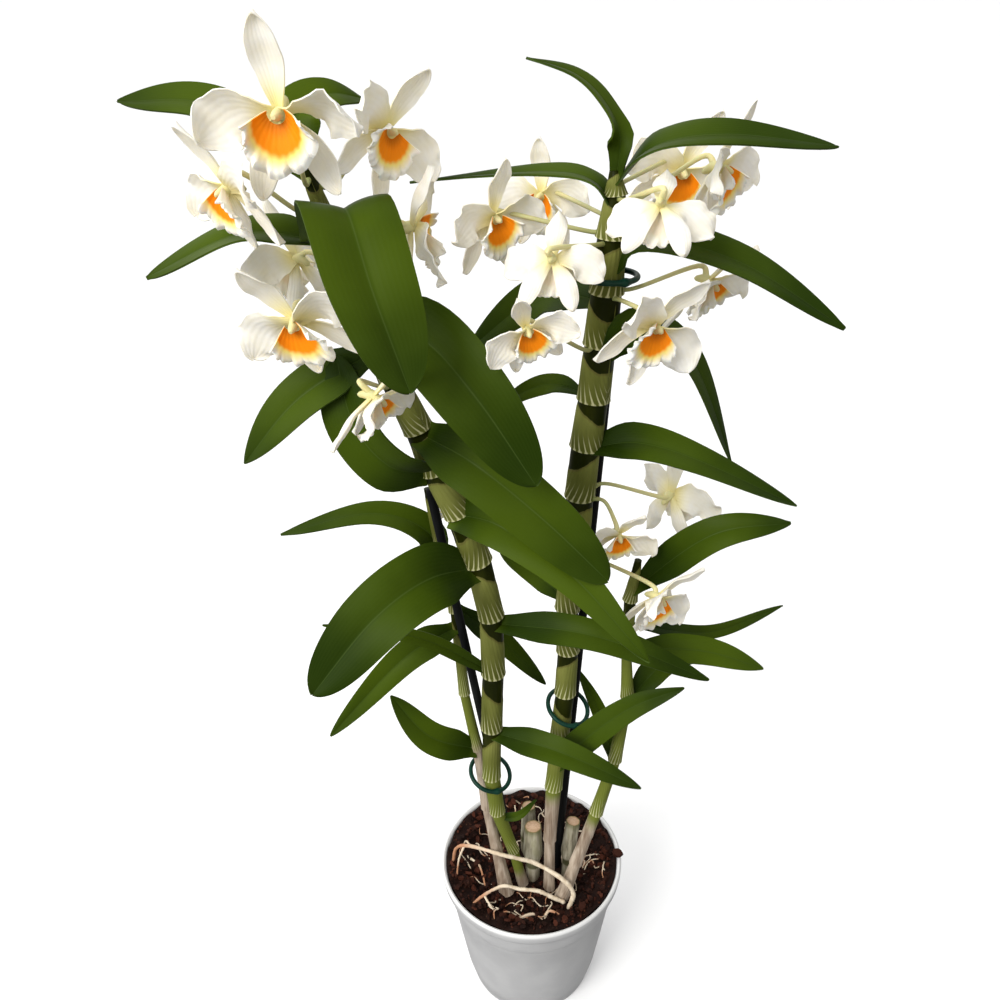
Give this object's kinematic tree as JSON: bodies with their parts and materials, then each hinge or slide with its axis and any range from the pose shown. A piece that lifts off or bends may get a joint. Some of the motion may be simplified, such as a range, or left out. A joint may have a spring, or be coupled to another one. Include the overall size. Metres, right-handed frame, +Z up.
{
  "type": "potted dendrobium orchid",
  "caption": "Flowering dendrobium orchid with leafy canes tied to stakes in a tapered white nursery pot filled with bark.",
  "frame": {"origin": "centre of the pot's flat underside", "axes": "+Z up through the plant, -Y towards the viewer of the picture, +X to the picture's right"},
  "size_m": [0.3245, 0.1684, 0.626],
  "materials": {
    "pot": "white moulded plastic",
    "bark": "damp red-brown bark chips",
    "leaf": "living leaf and cane, waxy dark green",
    "dry_cane": "dry papery cane",
    "stake": "black plastic rod",
    "clip": "dark green plastic ring",
    "root": "pale aerial root",
    "tepal": "living petal, creamy white, soft",
    "lip": "living petal, orange in the throat"
  },
  "bodies": {
    "root": {"pot": "pot", "substrate": "bark", "cane_a": "leaf", "cane_b": "leaf", "cane_c": "leaf", "cane_d": "leaf", "stump_front": "dry_cane", "stump_right": "dry_cane", "stump_back": "dry_cane", "stake_left": "stake", "stake_right": "stake", "clip_top": "clip", "clip_middle": "clip", "clip_low": "clip", "root_long": "root", "root_front": "root", "root_thin": "root", "root_loop": "root", "bloom_01": "tepal", "bloom_02": "tepal", "bloom_03": "tepal", "bloom_04": "tepal", "bloom_05": "tepal", "bloom_06": "tepal", "bloom_07": "tepal", "bloom_08": "tepal", "bloom_09": "tepal", "bloom_10": "tepal", "bloom_11": "tepal", "bloom_12": "tepal", "bloom_13": "tepal", "bloom_14": "tepal", "bloom_15": "tepal", "bloom_16": "tepal", "bloom_17": "tepal", "bloom_18": "tepal", "bloom_19": "tepal", "bloom_20": "tepal", "lip_01": "lip", "lip_02": "lip", "lip_03": "lip", "lip_04": "lip", "lip_05": "lip", "lip_06": "lip", "lip_07": "lip", "lip_08": "lip", "lip_09": "lip", "lip_10": "lip", "lip_11": "lip", "lip_12": "lip", "lip_13": "lip", "lip_14": "lip", "lip_15": "lip", "lip_16": "lip", "lip_17": "lip", "lip_18": "lip", "lip_19": "lip", "lip_20": "lip"}
  },
  "joints": []
}
